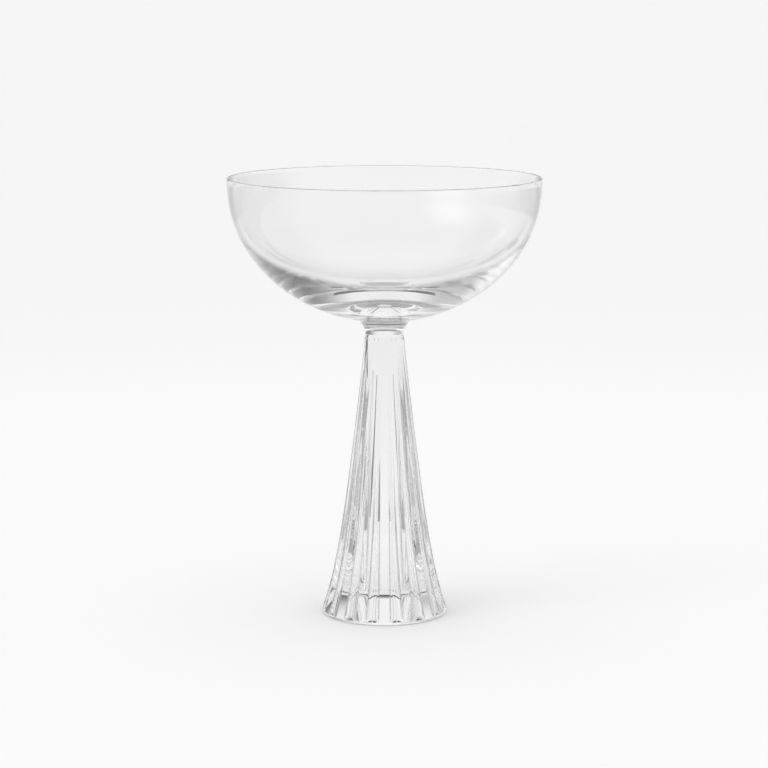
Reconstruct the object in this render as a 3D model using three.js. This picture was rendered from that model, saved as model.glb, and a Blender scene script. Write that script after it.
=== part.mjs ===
// Coupe-shaped gin glass: a thin round bowl, a flared joining neck and a solid fluted stem that
// widens into the foot. Millimetres, +Z up, origin on the table at the centre of the foot.
import * as THREE from 'three';

// Bowl. The curve powers set how full each curve is: 2 and 2 is a true ellipse.
const rimRadius = 57.5; // outside radius at the mouth
const rimWall = 1.1; // thickness of the glass at the lip
const bowlDepth = 52.5; // mouth plane down to where the outer curve would meet the axis
const bowlSidePower = 2.1;
const bowlFloorPower = 1.95;
const bowlBottom = 7.0; // thickness of the glass on the axis, where the bowl is heaviest
const insideSidePower = 2.5;
const insideFloorPower = 2.15;

// Joining neck between the bowl and the stem
const neckTopRadius = 9.9;
const neckWaistRadius = 7.05;
const neckHeight = 5.8;

// Fluted stem and its foot
const stemHeight = 104.1;
const stemTopRadius = 7.35;
const stemShoulder = 0.5; // rounding of the top edge, from the waist of the neck out to the stem
const taperEase = 3.3; // height over which the upright top turns into the straight taper
const taperFootRadius = 18.9; // radius that the straight taper alone would have at the foot
const footRadius = 23.3;
const footFlareRise = 18.5; // height in which the bell of the foot shrinks to about a third
const footBand = 1.1; // plain round edge below the flutes
const footRounding = 0.5; // rounding of the edge that meets the table
const fluteCount = 16;
const fluteWidth = 4.9; // across a flute at the foot
const fluteTipWidth = 0.6; // across a flute at the top of the stem, where its depth is nothing
const fluteDepth = 1.2; // middle of a flute at the foot
const fluteFade = 1.5; // above 1 the flutes lose their depth faster than they narrow
const fluteEdgeEase = 1.3; // above 1 the hollow eases into the ridges instead of meeting them sharply
const fluteRunOut = 1.6; // height in which a flute runs out above the plain edge

// Fineness of the faceted surfaces
const turnSides = 72;
const outsideSteps = 18;
const insideSteps = 17;
const lipSteps = 5;
const neckSteps = 8;
const roundingSteps = 3;
const stemLevels = 20;
const levelCrowding = 1.25; // above 1 the levels lie closer together towards the foot
const stepsPerFlute = 6;
const stepsPerRidge = 2;
const runOutSteps = 2;

// Heights that follow from the sizes above
const lipRadius = rimWall / 2;
const insideRadius = rimRadius - rimWall;
const insideDepth = bowlDepth - bowlBottom;
const neckBottom = stemHeight;
const neckTop = neckBottom + neckHeight;
const seamAngle = Math.acos((neckTopRadius / rimRadius) ** (bowlFloorPower / 2));
const mouthHeight = neckTop + bowlDepth * Math.sin(seamAngle) ** (2 / bowlSidePower);

function clearGlass(name, geometry) {
  const material = new THREE.MeshStandardMaterial({ color: '#f1f4f4', roughness: 0.04, metalness: 0 });
  material.transparent = true;
  material.opacity = 0.35;
  const mesh = new THREE.Mesh(geometry, material);
  mesh.name = name;
  return mesh;
}

// Turns a profile of (radius, height) points about the upright axis.
function revolve(profile) {
  const geometry = new THREE.LatheGeometry(profile, turnSides);
  geometry.rotateX(Math.PI / 2);
  return geometry;
}

// One point of a bowl curve: angle 0 is the upright mouth, a quarter turn is the floor on the axis.
function bowlPoint(angle, radius, depth, sidePower, floorPower) {
  const reach = radius * Math.cos(angle) ** (2 / floorPower);
  const drop = depth * Math.sin(angle) ** (2 / sidePower);
  return new THREE.Vector2(reach, mouthHeight - drop);
}

function makeBowl() {
  const profile = [new THREE.Vector2(0, neckTop), new THREE.Vector2(neckTopRadius, neckTop)];
  for (let i = 1; i <= outsideSteps; i += 1) {
    const angle = seamAngle * (1 - i / outsideSteps);
    profile.push(bowlPoint(angle, rimRadius, bowlDepth, bowlSidePower, bowlFloorPower));
  }
  for (let i = 1; i < lipSteps; i += 1) {
    const turn = (Math.PI * i) / lipSteps;
    const reach = rimRadius - lipRadius + lipRadius * Math.cos(turn);
    profile.push(new THREE.Vector2(reach, mouthHeight + lipRadius * Math.sin(turn)));
  }
  for (let i = 0; i < insideSteps; i += 1) {
    const angle = (Math.PI / 2) * (i / insideSteps);
    profile.push(bowlPoint(angle, insideRadius, insideDepth, insideSidePower, insideFloorPower));
  }
  profile.push(new THREE.Vector2(0, mouthHeight - insideDepth));
  return clearGlass('bowl', revolve(profile));
}

// The side of the neck is one hollow arc that leaves the waist upright.
function makeJoiningNeck() {
  const flare = neckTopRadius - neckWaistRadius;
  const arcRadius = (flare ** 2 + neckHeight ** 2) / (2 * flare);
  const arcSweep = Math.atan2(neckHeight, arcRadius - flare);
  const profile = [new THREE.Vector2(0, neckBottom)];
  for (let i = 0; i < neckSteps; i += 1) {
    const turn = arcSweep * (i / neckSteps);
    const reach = neckWaistRadius + arcRadius * (1 - Math.cos(turn));
    profile.push(new THREE.Vector2(reach, neckBottom + arcRadius * Math.sin(turn)));
  }
  profile.push(new THREE.Vector2(neckTopRadius, neckTop));
  profile.push(new THREE.Vector2(0, neckTop));
  return clearGlass('joining_neck', revolve(profile));
}

// Radius over the ridges: an eased straight taper plus a bell that swells towards the foot.
function ridgeRadius(height) {
  const top = stemHeight - stemShoulder;
  const eased = (drop) => Math.sqrt(drop ** 2 + taperEase ** 2) - taperEase;
  const taper = eased(top - height) / eased(top - footBand);
  const bell = Math.exp((footBand - height) / footFlareRise);
  return stemTopRadius + (taperFootRadius - stemTopRadius) * taper + (footRadius - taperFootRadius) * bell;
}

// One level of the stem: smooth ridges with a hollow flute between each two. Share is 1 where the
// flutes have their full width, at the foot, and 0 at the top.
function flutedRing(height, radius, depth, share) {
  const pitch = (2 * Math.PI) / fluteCount;
  const tipAngle = fluteTipWidth / stemTopRadius;
  const halfFlute = (tipAngle + (fluteWidth / footRadius - tipAngle) * share) / 2;
  const ridge = pitch - 2 * halfFlute;
  const ring = [];
  for (let flute = 0; flute < fluteCount; flute += 1) {
    const middle = (flute + 0.5) * pitch;
    for (let i = 0; i <= stepsPerFlute; i += 1) {
      const across = (2 * i) / stepsPerFlute - 1;
      const angle = middle + across * halfFlute;
      const reach = radius - depth * (1 - across ** 2) ** fluteEdgeEase;
      ring.push(new THREE.Vector3(reach * Math.cos(angle), reach * Math.sin(angle), height));
    }
    for (let i = 1; i < stepsPerRidge; i += 1) {
      const angle = middle + halfFlute + (ridge * i) / stepsPerRidge;
      ring.push(new THREE.Vector3(radius * Math.cos(angle), radius * Math.sin(angle), height));
    }
  }
  return ring;
}

// Skins a stack of equal rings, lowest first, and closes both ends with flat fans.
function skin(rings) {
  const count = rings[0].length;
  const points = rings.flat();
  const last = (rings.length - 1) * count;
  const floorCentre = points.push(new THREE.Vector3(0, 0, rings[0][0].z)) - 1;
  const topCentre = points.push(new THREE.Vector3(0, 0, rings[rings.length - 1][0].z)) - 1;
  const faces = [];
  for (let i = 0; i < count; i += 1) {
    const next = (i + 1) % count;
    for (let row = 0; row < last; row += count) {
      faces.push(row + i, row + next, row + count + next);
      faces.push(row + i, row + count + next, row + count + i);
    }
    faces.push(floorCentre, next, i);
    faces.push(topCentre, last + i, last + next);
  }
  const geometry = new THREE.BufferGeometry().setFromPoints(points);
  geometry.setIndex(faces);
  geometry.computeVertexNormals();
  return geometry;
}

function makeFlutedStem() {
  const rings = [];
  for (let i = 0; i <= roundingSteps; i += 1) {
    const turn = (Math.PI / 2) * (i / roundingSteps);
    const height = footRounding * (1 - Math.cos(turn));
    rings.push(flutedRing(height, footRadius - footRounding * (1 - Math.sin(turn)), 0, 1));
  }
  rings.push(flutedRing(footBand, footRadius, 0, 1));
  for (let i = 1; i < runOutSteps; i += 1) {
    const rise = i / runOutSteps;
    const height = footBand + fluteRunOut * rise;
    rings.push(flutedRing(height, ridgeRadius(height), fluteDepth * Math.sqrt(1 - (1 - rise) ** 2), 1));
  }
  const fluteStart = footBand + fluteRunOut;
  const shoulderStart = stemHeight - stemShoulder;
  for (let i = 0; i <= stemLevels; i += 1) {
    const climb = (i / stemLevels) ** levelCrowding;
    const height = fluteStart + (shoulderStart - fluteStart) * climb;
    const share = 1 - climb;
    rings.push(flutedRing(height, ridgeRadius(height), fluteDepth * share ** fluteFade, share));
  }
  for (let i = 1; i <= roundingSteps; i += 1) {
    const turn = (Math.PI / 2) * (i / roundingSteps);
    const inset = (stemTopRadius - neckWaistRadius) * (1 - Math.cos(turn));
    rings.push(flutedRing(shoulderStart + stemShoulder * Math.sin(turn), stemTopRadius - inset, 0, 0));
  }
  return clearGlass('fluted_stem', skin(rings));
}

const ginGlass = new THREE.Group();
ginGlass.add(makeBowl(), makeJoiningNeck(), makeFlutedStem());

export default ginGlass;
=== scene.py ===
# Coupe gin glass: blown bowl, flared joining neck, solid fluted stem. Metres, in the CAD's frame.
import bmesh
import bpy
import math
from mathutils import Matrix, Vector


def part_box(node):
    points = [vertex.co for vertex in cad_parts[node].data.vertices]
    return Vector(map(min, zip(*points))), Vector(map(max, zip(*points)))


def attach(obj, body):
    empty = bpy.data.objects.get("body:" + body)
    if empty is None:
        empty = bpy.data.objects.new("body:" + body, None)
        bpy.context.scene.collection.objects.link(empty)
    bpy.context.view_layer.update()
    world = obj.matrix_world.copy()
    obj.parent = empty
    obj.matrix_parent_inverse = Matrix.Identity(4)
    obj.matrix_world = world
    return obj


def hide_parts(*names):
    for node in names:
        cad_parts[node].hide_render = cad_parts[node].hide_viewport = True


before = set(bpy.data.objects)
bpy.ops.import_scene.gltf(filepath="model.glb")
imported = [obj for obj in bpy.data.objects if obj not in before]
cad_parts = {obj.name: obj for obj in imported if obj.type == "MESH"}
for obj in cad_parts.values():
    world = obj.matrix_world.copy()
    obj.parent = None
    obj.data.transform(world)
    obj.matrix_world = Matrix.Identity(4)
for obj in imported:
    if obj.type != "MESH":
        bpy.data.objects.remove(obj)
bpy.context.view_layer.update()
mm = 0.001
weld = 0.002 * mm  # points this close together are one
seamReach = 0.01 * mm  # faces this close to a seam's height belong to it
flatNormal = 0.999  # a face whose normal is more upright than this is flat

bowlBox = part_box("bowl")
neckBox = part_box("joining_neck")
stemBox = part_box("fluted_stem")


# small helpers for working by hand in edit mode
def clearSelection():
    if bpy.context.object and bpy.context.object.mode != "OBJECT":
        bpy.ops.object.mode_set(mode="OBJECT")
    bpy.ops.object.select_all(action="DESELECT")


def pickVerts(test):
    mesh = bmesh.from_edit_mesh(bpy.context.edit_object.data)
    bpy.ops.mesh.select_all(action="DESELECT")
    for vert in mesh.verts:
        vert.select = test(vert.co)
    mesh.select_flush_mode()
    bmesh.update_edit_mesh(bpy.context.edit_object.data)


# a chain of edges drawn point by point
def drawChain(name, points):
    clearSelection()
    bpy.ops.mesh.primitive_plane_add(size=2 * mm, location=(0, 0, 0))
    piece = bpy.context.object
    piece.name = piece.data.name = name
    bpy.ops.object.mode_set(mode="EDIT")
    bpy.ops.mesh.select_mode(type="VERT")
    bpy.ops.mesh.select_all(action="SELECT")
    bpy.ops.mesh.merge(type="CENTER")
    bpy.ops.transform.translate(value=points[0])
    for before, after in zip(points, points[1:]):
        step = Vector(after) - Vector(before)
        bpy.ops.mesh.extrude_region_move(TRANSFORM_OT_translate={"value": step})
    return piece


# a turned piece's outline is given as (radius, height)
def drawProfile(name, outline):
    return drawChain(name, [(r, 0, z) for r, z in outline])


# turn the drawn chain once round the axis and close it
def spinRound(steps):
    bpy.ops.mesh.select_all(action="SELECT")
    bpy.ops.mesh.spin(
        steps=steps, angle=2 * math.pi, center=(0, 0, 0), axis=(0, 0, 1), use_auto_merge=True
    )
    bpy.ops.mesh.select_all(action="SELECT")
    bpy.ops.mesh.remove_doubles(threshold=weld)
    bpy.ops.mesh.normals_make_consistent(inside=False)


# flat faces where two pieces are melted together get the second material slot
def markSeams(piece, heights):
    bpy.ops.object.mode_set(mode="OBJECT")
    for face in piece.data.polygons:
        flat = abs(face.normal.z) > flatNormal
        atSeam = any(abs(face.center.z - z) < seamReach for z in heights)
        face.material_index = int(flat and atSeam)


def finishPiece(piece, node, glass, heights, crease):
    piece.data.materials.append(glass)
    piece.data.materials.append(meltedSeam)
    markSeams(piece, heights)
    clearSelection()
    piece.select_set(True)
    bpy.context.view_layer.objects.active = piece
    bpy.ops.object.shade_smooth_by_angle(angle=math.radians(crease))
    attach(piece, "root")
    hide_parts(node)
    print("made", piece.name, len(piece.data.polygons), "faces")


# small helpers for node trees
def newMaterial(name):
    material = bpy.data.materials.new(name)
    material.use_nodes = True
    material.node_tree.nodes.clear()
    return material, material.node_tree.nodes, material.node_tree.links


# a number is set on the socket, another node's output is linked to it
def feed(links, socket, value):
    if isinstance(value, (int, float)):
        socket.default_value = value
    else:
        links.new(value, socket)


def addMath(nodes, links, operation, first, second=0):
    step = nodes.new("ShaderNodeMath")
    step.operation = operation
    feed(links, step.inputs[0], first)
    feed(links, step.inputs[1], second)
    return step.outputs["Value"]


def addMix(nodes, links, factor, first, second):
    mix = nodes.new("ShaderNodeMix")
    feed(links, mix.inputs["Factor"], factor)
    feed(links, mix.inputs["A"], first)
    feed(links, mix.inputs["B"], second)
    return mix.outputs["Result"]


def addRamp(nodes, links, value, start, end, levels=(0, 1), kind="SMOOTHSTEP"):
    ramp = nodes.new("ShaderNodeMapRange")
    ramp.interpolation_type = kind
    feed(links, ramp.inputs["Value"], value)
    feed(links, ramp.inputs["From Min"], start)
    feed(links, ramp.inputs["From Max"], end)
    feed(links, ramp.inputs["To Min"], levels[0])
    feed(links, ramp.inputs["To Max"], levels[1])
    return ramp.outputs["Result"]


def grey(level):
    return (level, level, level, 1)


# what all the glass shares
clearGlass = {
    "ior": 1.52,
    "cloudScale": 14,
    "cloudDetail": 1,
    "cloudLevels": (0.99, 1.0),
    "waveScale": 55,
    "waveDetail": 0.5,
}


# uneven tint, painted shade that greys the bowl's lip, a stem that darkens towards its top, and
# the slow waves of fire polishing
def makeGlassTintAndShade():
    group = bpy.data.node_groups.new("glassTintAndShade", "ShaderNodeTree")
    face = group.interface
    face.new_socket("Tint", in_out="INPUT", socket_type="NodeSocketColor")
    face.new_socket("Edge Tint", in_out="INPUT", socket_type="NodeSocketColor")
    face.new_socket("Edge Start", in_out="INPUT", socket_type="NodeSocketFloat")
    face.new_socket("Edge End", in_out="INPUT", socket_type="NodeSocketFloat")
    face.new_socket("Color", in_out="OUTPUT", socket_type="NodeSocketColor")
    face.new_socket("Height", in_out="OUTPUT", socket_type="NodeSocketFloat")
    nodes, links = group.nodes, group.links
    given = nodes.new("NodeGroupInput")
    result = nodes.new("NodeGroupOutput")
    place = nodes.new("ShaderNodeTexCoord")
    parts = nodes.new("ShaderNodeSeparateXYZ")
    cloud = nodes.new("ShaderNodeTexNoise")
    cloud.inputs["Scale"].default_value = clearGlass["cloudScale"]
    cloud.inputs["Detail"].default_value = clearGlass["cloudDetail"]
    waves = nodes.new("ShaderNodeTexNoise")
    waves.inputs["Scale"].default_value = clearGlass["waveScale"]
    waves.inputs["Detail"].default_value = clearGlass["waveDetail"]
    toEdge = nodes.new("ShaderNodeMix")
    toEdge.data_type = "RGBA"
    shade = nodes.new("ShaderNodeVectorMath")
    shade.operation = "SCALE"
    for node in (parts, cloud, waves):
        links.new(place.outputs["Object"], node.inputs["Vector"])
    edgeStart, edgeEnd = given.outputs["Edge Start"], given.outputs["Edge End"]
    # painted shade on the bowl's lip: above the start height the colour turns to the second tint;
    # on the stem the same ramp only darkens it towards its top
    edge = addRamp(nodes, links, parts.outputs["Z"], edgeStart, edgeEnd)
    uneven = addRamp(nodes, links, cloud.outputs["Fac"], 0, 1, clearGlass["cloudLevels"], "LINEAR")
    links.new(edge, toEdge.inputs["Factor"])
    links.new(given.outputs["Tint"], toEdge.inputs["A"])
    links.new(given.outputs["Edge Tint"], toEdge.inputs["B"])
    links.new(toEdge.outputs["Result"], shade.inputs[0])
    links.new(uneven, shade.inputs["Scale"])
    links.new(shade.outputs["Vector"], result.inputs["Color"])
    links.new(waves.outputs["Fac"], result.inputs["Height"])
    return group


glassTintAndShade = makeGlassTintAndShade()


# clear glass with painted shade: greyer where it is seen at a grazing angle, for its dark
# outlines; lines paints shade as dark lines along the edges of flutes
def makeGlass(name, look, lines=None):
    material, nodes, links = newMaterial(name)
    out = nodes.new("ShaderNodeOutputMaterial")
    glass = nodes.new("ShaderNodeBsdfPrincipled")
    glass.inputs["Roughness"].default_value = 0.0
    glass.inputs["IOR"].default_value = clearGlass["ior"]
    glass.inputs["Transmission Weight"].default_value = 1.0
    body = nodes.new("ShaderNodeGroup")
    body.node_tree = glassTintAndShade
    body.inputs["Tint"].default_value = grey(look["tint"])
    body.inputs["Edge Tint"].default_value = grey(look["lipShadeAndTopTint"])
    body.inputs["Edge Start"].default_value = look["edge"][0]
    body.inputs["Edge End"].default_value = look["edge"][1]
    # painted shade: the colour is darker where the glass is seen at a grazing angle
    graze = nodes.new("ShaderNodeLayerWeight")
    graze.inputs["Blend"].default_value = 0.5
    levels = (1.0, look["grazingShade"])
    paintedShadeKeep = addRamp(nodes, links, graze.outputs["Facing"], look["grazeStart"], 1, levels)
    # painted shade: dark lines along the flutes' edges
    if lines:
        fluteLineShade = nodes.new("ShaderNodeGroup")
        fluteLineShade.node_tree = lines
        fluteLineShade.inputs["Strength"].default_value = look["fluteLineShade"]
        paintedShadeKeep = addMath(nodes, links, "MULTIPLY", paintedShadeKeep, fluteLineShade.outputs["Painted Shade Keep"])
    darken = nodes.new("ShaderNodeVectorMath")
    darken.operation = "SCALE"
    polish = nodes.new("ShaderNodeBump")
    polish.inputs["Strength"].default_value = 1.0
    polish.inputs["Distance"].default_value = look["waves"]
    links.new(body.outputs["Color"], darken.inputs[0])
    links.new(paintedShadeKeep, darken.inputs["Scale"])
    links.new(darken.outputs["Vector"], glass.inputs["Base Color"])
    links.new(body.outputs["Height"], polish.inputs["Height"])
    links.new(polish.outputs["Normal"], glass.inputs["Normal"])
    # light on its way to the floor passes straight through
    path = nodes.new("ShaderNodeLightPath")
    shadow, diffuse = path.outputs["Is Shadow Ray"], path.outputs["Is Diffuse Ray"]
    toFloor = addMath(nodes, links, "MAXIMUM", shadow, diffuse)
    clear = nodes.new("ShaderNodeBsdfTransparent")
    clear.inputs["Color"].default_value = grey(look["lampPass"])
    mix = nodes.new("ShaderNodeMixShader")
    links.new(toFloor, mix.inputs["Fac"])
    links.new(glass.outputs["BSDF"], mix.inputs[1])
    links.new(clear.outputs["BSDF"], mix.inputs[2])
    links.new(mix.outputs["Shader"], out.inputs["Surface"])
    print("glass", name)
    return material


# where two pieces are melted together there is no surface to see
def makeMeltedSeam():
    material, nodes, links = newMaterial("meltedSeam")
    out = nodes.new("ShaderNodeOutputMaterial")
    seam = nodes.new("ShaderNodeBsdfPrincipled")
    seam.inputs["Alpha"].default_value = 0.0
    links.new(seam.outputs["BSDF"], out.inputs["Surface"])
    return material


meltedSeam = makeMeltedSeam()

# bowl
lipTop = bowlBox[1][2]
bowl = {
    "rimWall": 1.1 * mm,
    "bottom": 7.0 * mm,
    "sidePower": 2.1,
    "floorPower": 1.95,
    "insideSidePower": 2.5,
    "insideFloorPower": 2.15,
    "outsideSteps": 56,
    "insideSteps": 52,
    "lipSteps": 10,
    "roundSteps": 256,
    "crease": 30,
    "look": {
        "tint": 0.98,
        # painted shade: the lip turns grey here, for the dark line round the rim
        "lipShadeAndTopTint": 0.5,
        "edge": (lipTop - 0.4 * mm, lipTop - 0.15 * mm),
        # painted shade at grazing angles, for the bowl's dark outline
        "grazingShade": 0.12,
        "grazeStart": 0.7,
        "waves": 0.012 * mm,
        "lampPass": 0.9,
    },
}


def bowlCurve(angle, radius, depth, sidePower, floorPower):
    return radius * math.cos(angle) ** (2 / floorPower), depth * math.sin(angle) ** (2 / sidePower)


def makeBowl():
    rim = bowlBox[1][0]
    seam = bowlBox[0][2]
    seamRadius = neckBox[1][0]
    lip = bowl["rimWall"] / 2
    mouth = lipTop - lip
    seamAngle = math.acos((seamRadius / rim) ** (bowl["floorPower"] / 2))
    depth = (mouth - seam) / math.sin(seamAngle) ** (2 / bowl["sidePower"])
    inRadius = rim - bowl["rimWall"]
    inDepth = depth - bowl["bottom"]
    points = [(0, seam), (seamRadius / 2, seam), (seamRadius, seam)]
    for i in range(1, bowl["outsideSteps"] + 1):
        angle = seamAngle * (1 - i / bowl["outsideSteps"])
        r, drop = bowlCurve(angle, rim, depth, bowl["sidePower"], bowl["floorPower"])
        points.append((r, mouth - drop))
    for i in range(1, bowl["lipSteps"]):
        turn = math.pi * i / bowl["lipSteps"]
        points.append((rim - lip + lip * math.cos(turn), mouth + lip * math.sin(turn)))
    for i in range(bowl["insideSteps"]):
        angle = math.pi / 2 * i / bowl["insideSteps"]
        powers = bowl["insideSidePower"], bowl["insideFloorPower"]
        r, drop = bowlCurve(angle, inRadius, inDepth, *powers)
        points.append((r, mouth - drop))
    points.append((0, mouth - inDepth))
    blownGlass = makeGlass("blownGlass", bowl["look"])
    piece = drawProfile("blownBowl", points)
    spinRound(bowl["roundSteps"])
    finishPiece(piece, "bowl", blownGlass, [seam], bowl["crease"])


# joining neck
neck = {
    "waistRadius": 7.05 * mm,
    "arcSteps": 24,
    "roundSteps": 256,
    "crease": 30,
    "look": {
        "tint": 0.96,
        "lipShadeAndTopTint": 0.96,
        # painted shade at grazing angles
        "edge": (0, 1),
        "grazingShade": 0.4,
        "grazeStart": 0.7,
        "waves": 0.01 * mm,
        "lampPass": 0.5,
    },
}


# the side is one hollow arc that leaves the waist upright
def makeNeck():
    low, high, topRadius = neckBox[0][2], neckBox[1][2], neckBox[1][0]
    flare = topRadius - neck["waistRadius"]
    arc = (flare ** 2 + (high - low) ** 2) / (2 * flare)
    sweep = math.atan2(high - low, arc - flare)
    points = [(0, low), (neck["waistRadius"] / 2, low)]
    for i in range(neck["arcSteps"] + 1):
        turn = sweep * i / neck["arcSteps"]
        r = neck["waistRadius"] + arc * (1 - math.cos(turn))
        points.append((r, low + arc * math.sin(turn)))
    points += [(topRadius / 2, high), (0, high)]
    jointGlass = makeGlass("jointGlass", neck["look"])
    piece = drawProfile("flaredNeck", points)
    spinRound(neck["roundSteps"])
    finishPiece(piece, "joining_neck", jointGlass, [low, high], neck["crease"])


# fluted stem
stem = {
    "topRadius": 7.35 * mm,
    "shoulder": 0.5 * mm,
    "shoulderEase": 1.7 * mm,  # the melted step under the neck is spread over this height
    "shoulderSteps": 10,
    "ease": 3.3 * mm,
    "taperFootRadius": 18.9 * mm,
    "flareRise": 18.5 * mm,
    "band": 1.1 * mm,
    "rounding": 0.5 * mm,
    "roundingSteps": 6,
    "flutes": 16,
    "fluteWidth": 4.9 * mm,
    "tipWidth": 0.6 * mm,
    "fluteDepth": 1.2 * mm,
    "fade": 1.5,
    "edgeEase": 1.1,
    "runOut": 1.6 * mm,
    "runOutSteps": 8,
    "ridgeColumns": 8,  # from the middle of a ridge to the edge of a flute
    "fluteColumns": 12,  # from there to the middle of the flute
    "levels": 76,
    "crowding": 1.3,
    "fluteWeld": 0.005 * mm,
    "crease": 60,
    "look": {
        "tint": 0.99,
        # the stem grows darker towards its top, between the heights below
        "lipShadeAndTopTint": 0.88,
        "edge": (10 * mm, 105 * mm),
        # painted shade at grazing angles
        "grazingShade": 0.4,
        "grazeStart": 0.7,
        "waves": 0.008 * mm,
        # painted shade lines along the flutes' edges
        "fluteLineShade": 0.55,
        "lampPass": 0.35,
    },
    # painted shade lines along the flutes' edges: place and half width in pitches, and where they
    # fade
    "lineTop": 104 * mm,
    "linePlace": (0.4, 0.24),
    "lineWidth": (0.055, 0.01),
    "lineFade": (70 * mm, 28 * mm),
    "lineFoot": (1.1 * mm, 3 * mm),
}


# painted shade: thin greyer lines along both edges of every flute, fading out towards the top of
# the stem
def makeFluteEdgeShade():
    group = bpy.data.node_groups.new("fluteEdgeShade", "ShaderNodeTree")
    group.interface.new_socket("Strength", in_out="INPUT", socket_type="NodeSocketFloat")
    group.interface.new_socket("Painted Shade Keep", in_out="OUTPUT", socket_type="NodeSocketFloat")
    nodes, links = group.nodes, group.links
    given = nodes.new("NodeGroupInput")
    result = nodes.new("NodeGroupOutput")
    place = nodes.new("ShaderNodeTexCoord")
    parts = nodes.new("ShaderNodeSeparateXYZ")
    links.new(place.outputs["Object"], parts.inputs["Vector"])
    height = parts.outputs["Z"]
    # 0 on the middle of a ridge, 0.5 in the middle of a flute
    angle = addMath(nodes, links, "ARCTAN2", parts.outputs["X"], parts.outputs["Y"])
    pitches = addMath(nodes, links, "DIVIDE", angle, 2 * math.pi / stem["flutes"])
    across = addMath(nodes, links, "PINGPONG", pitches, 0.5)
    share = addRamp(nodes, links, height, stem["lineTop"], 0, kind="LINEAR")
    edge = addRamp(nodes, links, share, 0, 1, stem["linePlace"], "LINEAR")
    offset = addMath(nodes, links, "ABSOLUTE", addMath(nodes, links, "SUBTRACT", across, edge))
    line = addRamp(nodes, links, offset, *stem["lineWidth"])
    fadeUp = addRamp(nodes, links, height, *stem["lineFade"])
    fadeDown = addRamp(nodes, links, height, *stem["lineFoot"])
    fading = addMath(nodes, links, "MULTIPLY", fadeUp, fadeDown)
    faded = addMath(nodes, links, "MULTIPLY", line, fading)
    mark = addMath(nodes, links, "MULTIPLY", faded, given.outputs["Strength"])
    links.new(addMath(nodes, links, "SUBTRACT", 1.0, mark), result.inputs["Painted Shade Keep"])
    return group


# radius over the ridges: an eased straight taper plus a bell that swells towards the foot
def ridgeRadius(z):
    foot = stemBox[1][0]
    top = stemBox[1][2] - stem["shoulder"]

    def eased(drop):
        return math.sqrt(drop ** 2 + stem["ease"] ** 2) - stem["ease"]

    taper = eased(top - z) / eased(top - stem["band"])
    bell = math.exp((stem["band"] - z) / stem["flareRise"])
    tapered = stem["topRadius"] + (stem["taperFootRadius"] - stem["topRadius"]) * taper
    return tapered + (foot - stem["taperFootRadius"]) * bell


# (height, ridge radius, flute depth, share of the full flute width) from the table up
def stemLevels():
    foot, top = stemBox[1][0], stemBox[1][2]
    levels = []
    for i in range(stem["roundingSteps"]):
        turn = math.pi / 2 * i / (stem["roundingSteps"] - 1)
        z = stem["rounding"] * (1 - math.cos(turn))
        levels.append((z, foot - stem["rounding"] * (1 - math.sin(turn)), 0, 1))
    levels.append((stem["band"], foot, 0, 1))
    for i in range(1, stem["runOutSteps"]):
        rise = i / stem["runOutSteps"]
        z = stem["band"] + stem["runOut"] * rise
        levels.append((z, ridgeRadius(z), stem["fluteDepth"] * math.sqrt(1 - (1 - rise) ** 2), 1))
    start = stem["band"] + stem["runOut"]
    end = top - stem["shoulderEase"]
    for i in range(stem["levels"] + 1):
        climb = (i / stem["levels"]) ** stem["crowding"]
        z = start + (end - start) * climb
        share = 1 - climb
        levels.append((z, ridgeRadius(z), stem["fluteDepth"] * share ** stem["fade"], share))
    step = stem["topRadius"] - neck["waistRadius"]
    for i in range(1, stem["shoulderSteps"] + 1):
        rise = i / stem["shoulderSteps"]
        z = end + stem["shoulderEase"] * rise
        full = ridgeRadius(min(z, top - stem["shoulder"]))
        levels.append((z, full - step * rise ** 2 * (3 - 2 * rise), 0, 0))
    return levels


# one level from the middle of the ridge at the front to the middle of the flute beside it
def stemRow(z, r, depth, share):
    halfPitch = math.pi / stem["flutes"]
    tip = stem["tipWidth"] / stem["topRadius"] / 2
    half = tip + (stem["fluteWidth"] / stemBox[1][0] / 2 - tip) * share
    row = []
    for i in range(stem["ridgeColumns"]):
        turn = (halfPitch - half) * i / stem["ridgeColumns"]
        row.append(Vector((r * math.sin(turn), -r * math.cos(turn), z)))
    for i in range(stem["fluteColumns"] + 1):
        aside = 1 - i / stem["fluteColumns"]
        turn = halfPitch - half * aside
        reach = r - depth * (1 - aside ** 2) ** stem["edgeEase"]
        row.append(Vector((reach * math.sin(turn), -reach * math.cos(turn), z)))
    return row


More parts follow.
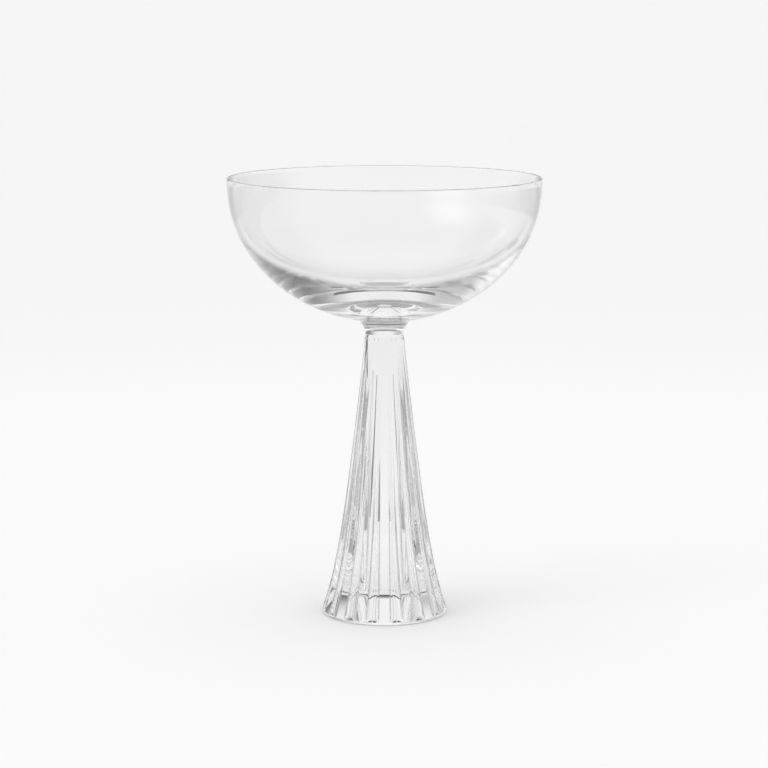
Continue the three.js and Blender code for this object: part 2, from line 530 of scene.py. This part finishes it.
# half a ridge and half a flute are pulled up level by level, mirrored, and copied round the axis
def makeStem():
    pressedGlass = makeGlass("pressedGlass", stem["look"], makeFluteEdgeShade())
    rows = [stemRow(*level) for level in stemLevels()]
    piece = drawChain("flutedStem", rows[0])
    bpy.ops.mesh.select_all(action="SELECT")
    for row, nextRow in zip(rows, rows[1:]):
        rise = Vector((0, 0, nextRow[0].z - row[0].z))
        bpy.ops.mesh.extrude_region_move(TRANSFORM_OT_translate={"value": rise})
        for old, new in zip(row, nextRow):
            pickVerts(lambda co: (co - old - rise).length < weld)
            bpy.ops.transform.translate(value=new - old - rise)
        pickVerts(lambda co: abs(co.z - nextRow[0].z) < weld)
    bpy.ops.mesh.select_all(action="SELECT")
    bpy.ops.mesh.symmetrize(direction="POSITIVE_X", threshold=weld)
    bpy.ops.mesh.select_all(action="SELECT")
    sweep = 2 * math.pi - 2 * math.pi / stem["flutes"]
    bpy.ops.mesh.spin(
        steps=stem["flutes"] - 1, dupli=True, angle=sweep, center=(0, 0, 0), axis=(0, 0, 1)
    )
    bpy.ops.mesh.select_all(action="SELECT")
    bpy.ops.mesh.remove_doubles(threshold=stem["fluteWeld"])
    bottom, top = rows[0][0].z, rows[-1][0].z
    for height in (bottom, top):
        pickVerts(lambda co: abs(co.z - height) < weld)
        bpy.ops.mesh.edge_face_add()
    bpy.ops.mesh.select_all(action="SELECT")
    bpy.ops.mesh.normals_make_consistent(inside=False)
    finishPiece(piece, "fluted_stem", pressedGlass, [top], stem["crease"])


makeBowl()
makeNeck()
makeStem()

# floor with a glow of painted light that is a little brighter round the glass
floor = {
    "radius": 40,
    "sides": 96,
    "drop": 0.2 * mm,
    "albedo": 0.9,
    # painted light: the floor's glow is stronger near the glass than far off
    "paintedGlow": (0.305, 0.256),
    "paintedGlowRange": (0.1, 1.1),
}


def makeFloor():
    clearSelection()
    spot = (0, 0, -floor["drop"])
    bpy.ops.mesh.primitive_circle_add(
        vertices=floor["sides"], radius=floor["radius"], fill_type="NGON", location=spot
    )
    sheet = bpy.context.object
    sheet.name = "paleFloor"
    material, nodes, links = newMaterial("paleFloor")
    out = nodes.new("ShaderNodeOutputMaterial")
    lit = nodes.new("ShaderNodeBsdfDiffuse")
    lit.inputs["Color"].default_value = grey(floor["albedo"])
    place = nodes.new("ShaderNodeTexCoord")
    away = nodes.new("ShaderNodeVectorMath")
    away.operation = "LENGTH"
    links.new(place.outputs["Object"], away.inputs[0])
    near, far = floor["paintedGlowRange"]
    # painted light: more glow near the glass
    fade = addRamp(nodes, links, away.outputs["Value"], near, far, floor["paintedGlow"], "SMOOTHERSTEP")
    paintedGlow = nodes.new("ShaderNodeEmission")
    add = nodes.new("ShaderNodeAddShader")
    links.new(fade, paintedGlow.inputs["Strength"])
    links.new(lit.outputs["BSDF"], add.inputs[0])
    links.new(paintedGlow.outputs["Emission"], add.inputs[1])
    links.new(add.outputs["Shader"], out.inputs["Surface"])
    sheet.data.materials.append(material)
    print("floor laid")


makeFloor()

# light: a pale room with one wide soft box at the left front
# seen through the glass the backdrop ends low and the room above it is dark; angles in degrees
studio = {
    "seen": 0.895,  # what the camera itself sees above the floor
    "wall": 0.9,
    "ceiling": 0.6,
    "wallTop": 18,
    "ceilingStart": 36,
    "gap": 0.1,
    "gapRange": (21.5, 24, 42, 56),
    "gapFront": (0.1, -0.2),  # the dark gap ends here on its way to the front
    "boxEdge": (0.3, 1.5),  # a soft box fades between these shares of its half size
    "boxDepth": 1000,  # so large that the depth doesn't count in the measure
    # azimuth, elevation, half width, half height and level
    "lamp": (-119, 36, 18, 11, 2.4),
    "shine": (-125, 25, 17, 12, 1.1),
    "streak": (-56, 22, 4, 14, 1.0),
}


def heightRamp(nodes, links, height, low, high, levels):
    lowSine, highSine = math.sin(math.radians(low)), math.sin(math.radians(high))
    return addRamp(nodes, links, height, lowSine, highSine, levels)


# a soft box: the direction is turned into the box's own frame and measured in half sizes
def softBox(nodes, links, way, box):
    azimuth, elevation, halfWidth, halfHeight = (math.radians(angle) for angle in box[:4])
    level = box[4]
    across = math.cos(elevation)
    place = Vector((math.sin(azimuth) * across, math.cos(azimuth) * across, math.sin(elevation)))
    local = nodes.new("ShaderNodeMapping")
    local.vector_type = "TEXTURE"
    local.inputs["Rotation"].default_value = place.to_track_quat("Z", "Y").to_euler()
    halfSize = (math.sin(halfWidth), math.sin(halfHeight), studio["boxDepth"])
    local.inputs["Scale"].default_value = halfSize
    span = nodes.new("ShaderNodeVectorMath")
    span.operation = "LENGTH"
    links.new(way.outputs["Generated"], local.inputs["Vector"])
    links.new(local.outputs["Vector"], span.inputs[0])
    return addRamp(nodes, links, span.outputs["Value"], *studio["boxEdge"], (level, 0))


def makeWorld():
    world = bpy.data.worlds.new("softStudio")
    bpy.context.scene.world = world
    world.use_nodes = True
    nodes, links = world.node_tree.nodes, world.node_tree.links
    back = nodes["Background"]
    back.inputs["Color"].default_value = grey(1)
    way = nodes.new("ShaderNodeTexCoord")
    parts = nodes.new("ShaderNodeSeparateXYZ")
    path = nodes.new("ShaderNodeLightPath")
    links.new(way.outputs["Generated"], parts.inputs["Vector"])
    height = parts.outputs["Z"]
    wall, ceiling, dark = studio["wall"], studio["ceiling"], studio["gap"]
    gapLow, gapDark, gapTop, gapEnd = studio["gapRange"]
    wallTop, ceilingStart = studio["wallTop"], studio["ceilingStart"]
    room = heightRamp(nodes, links, height, wallTop, ceilingStart, (wall, ceiling))
    intoGap = heightRamp(nodes, links, height, gapLow, gapDark, (wall, dark))
    outOfGap = heightRamp(nodes, links, height, gapTop, gapEnd, (dark, ceiling))
    gap = addMath(nodes, links, "MAXIMUM", intoGap, outOfGap)
    toFront = addRamp(nodes, links, parts.outputs["Y"], *studio["gapFront"])
    throughGlass = addMix(nodes, links, toFront, gap, wall)
    around = addMix(nodes, links, path.outputs["Is Transmission Ray"], room, throughGlass)
    lamp = softBox(nodes, links, way, studio["lamp"])
    shine = softBox(nodes, links, way, studio["shine"])
    streak = softBox(nodes, links, way, studio["streak"])
    reflected = addMath(nodes, links, "ADD", shine, streak)
    box = addMix(nodes, links, path.outputs["Is Glossy Ray"], lamp, reflected)
    both = addMath(nodes, links, "ADD", around, box)
    level = addMix(nodes, links, path.outputs["Is Camera Ray"], both, studio["seen"])
    links.new(level, back.inputs["Strength"])
    print("studio lit")


makeWorld()

# cards and floor strips round the glass that only its refractions see
sheets = {
    "edge": 0.501,  # just past a sheet's own edge, so a full core doesn't fade
    "stripHeight": 0.5 * mm,
    "steep": (0.1, 0.25),  # how face-on a floor strip is seen when it lets the floor show
}


# a plane that is dark over the core share of its width and fades to the wall's level at its sides
def makeSheet(name, spot, rotation, size, shade, core, onFloor):
    clearSelection()
    bpy.ops.mesh.primitive_plane_add(size=1, location=spot, rotation=rotation)
    sheet = bpy.context.object
    sheet.name = name
    sheet.scale = (size[0], size[1], 1)
    material, nodes, links = newMaterial(name)
    out = nodes.new("ShaderNodeOutputMaterial")
    face = nodes.new("ShaderNodeEmission")
    face.inputs["Color"].default_value = grey(1)
    place = nodes.new("ShaderNodeTexCoord")
    parts = nodes.new("ShaderNodeSeparateXYZ")
    links.new(place.outputs["Object"], parts.inputs["Vector"])
    aside = addMath(nodes, links, "ABSOLUTE", parts.outputs["X"])
    soft = addRamp(nodes, links, aside, 0.5 * core, sheets["edge"], (shade, studio["wall"]))
    links.new(soft, face.inputs["Strength"])
    surface = face.outputs["Emission"]
    # seen steeply from above, a floor strip lets the floor show
    if onFloor:
        tilt = nodes.new("ShaderNodeLayerWeight")
        tilt.inputs["Blend"].default_value = 0.5
        facing = tilt.outputs["Facing"]
        bareShare = addRamp(nodes, links, facing, *sheets["steep"], (1, 0), "LINEAR")
        bare = nodes.new("ShaderNodeBsdfTransparent")
        mix = nodes.new("ShaderNodeMixShader")
        links.new(bareShare, mix.inputs["Fac"])
        links.new(surface, mix.inputs[1])
        links.new(bare.outputs["BSDF"], mix.inputs[2])
        surface = mix.outputs["Shader"]
    links.new(surface, out.inputs["Surface"])
    sheet.data.materials.append(material)
    sheet.visible_camera = False
    sheet.visible_diffuse = False
    sheet.visible_glossy = False
    sheet.visible_shadow = False


# azimuth is measured from straight back, positive to the right
def card(name, azimuth, away, width, low, high, shade, core=1):
    turn = math.radians(azimuth)
    spot = (away * math.sin(turn), away * math.cos(turn), (low + high) / 2)
    makeSheet(name, spot, (math.pi / 2, 0, -turn), (width, high - low), shade, core, False)


# a strip on the floor that points at the glass
def floorStrip(name, azimuth, near, far, width, shade, core=0.5):
    turn = math.radians(azimuth)
    middle = (near + far) / 2
    spot = (middle * math.sin(turn), middle * math.cos(turn), sheets["stripHeight"])
    makeSheet(name, spot, (0, 0, -turn), (width, far - near), shade, core, True)


card("blackStripRight", azimuth=54, away=0.235, width=0.055, low=0.006, high=0.055, shade=0.01)
floorStrip("topLineLeft", azimuth=-59, near=0.1, far=0.225, width=0.022, shade=0.04)
floorStrip("edgeLineRight", azimuth=59, near=0.13, far=0.24, width=0.03, shade=0.02, core=0.6)
floorStrip("nearLineRight", azimuth=80, near=0.06, far=0.13, width=0.022, shade=0.03)
floorStrip("edgeLineLeft", azimuth=-71, near=0.08, far=0.27, width=0.028, shade=0.04)
floorStrip("fluteLineRight", azimuth=13, near=0.09, far=0.3, width=0.007, shade=0.2)
floorStrip("fluteLineLeft", azimuth=-15, near=0.09, far=0.3, width=0.006, shade=0.3)
floorStrip("fluteLineFarRight", azimuth=22, near=0.09, far=0.3, width=0.007, shade=0.25)
floorStrip("fluteLineFarLeft", azimuth=-26, near=0.09, far=0.3, width=0.007, shade=0.3)
card("neckBack", azimuth=0, away=0.3, width=0.3, low=0.195, high=0.33, shade=0.04)
card("darkBackRight", azimuth=65, away=1.0, width=2.4, low=0, high=0.8, shade=0.07, core=0.2)
card("darkBackLeft", azimuth=-40, away=1.0, width=1.0, low=0, high=0.6, shade=0.52, core=0.2)
print("cards set")

# camera
camera = {
    "away": 903.6 * mm,
    "height": 235.1 * mm,
    "pitch": 9.387,
    "lens": 116.29,
    "sensor": 36,
    "shiftX": -0.5 / 768,  # half a pixel
}


def makeCamera():
    lens = bpy.data.cameras.new("photoCamera")
    lens.sensor_width = camera["sensor"]
    lens.sensor_fit = "HORIZONTAL"
    lens.lens = camera["lens"]
    lens.shift_x = camera["shiftX"]
    eye = bpy.data.objects.new("photoCamera", lens)
    bpy.context.scene.collection.objects.link(eye)
    eye.location = (0, -camera["away"], camera["height"])
    eye.rotation_euler = (math.radians(90 - camera["pitch"]), 0, 0)
    bpy.context.scene.camera = eye
    print("camera set")


makeCamera()

# light goes back and forth many times inside clear glass
scene = bpy.context.scene
scene.view_settings.view_transform = "Standard"
scene.cycles.max_bounces = 96
scene.cycles.transmission_bounces = 96
scene.cycles.glossy_bounces = 64
scene.cycles.transparent_max_bounces = 32
scene.cycles.caustics_refractive = False
scene.cycles.caustics_reflective = False
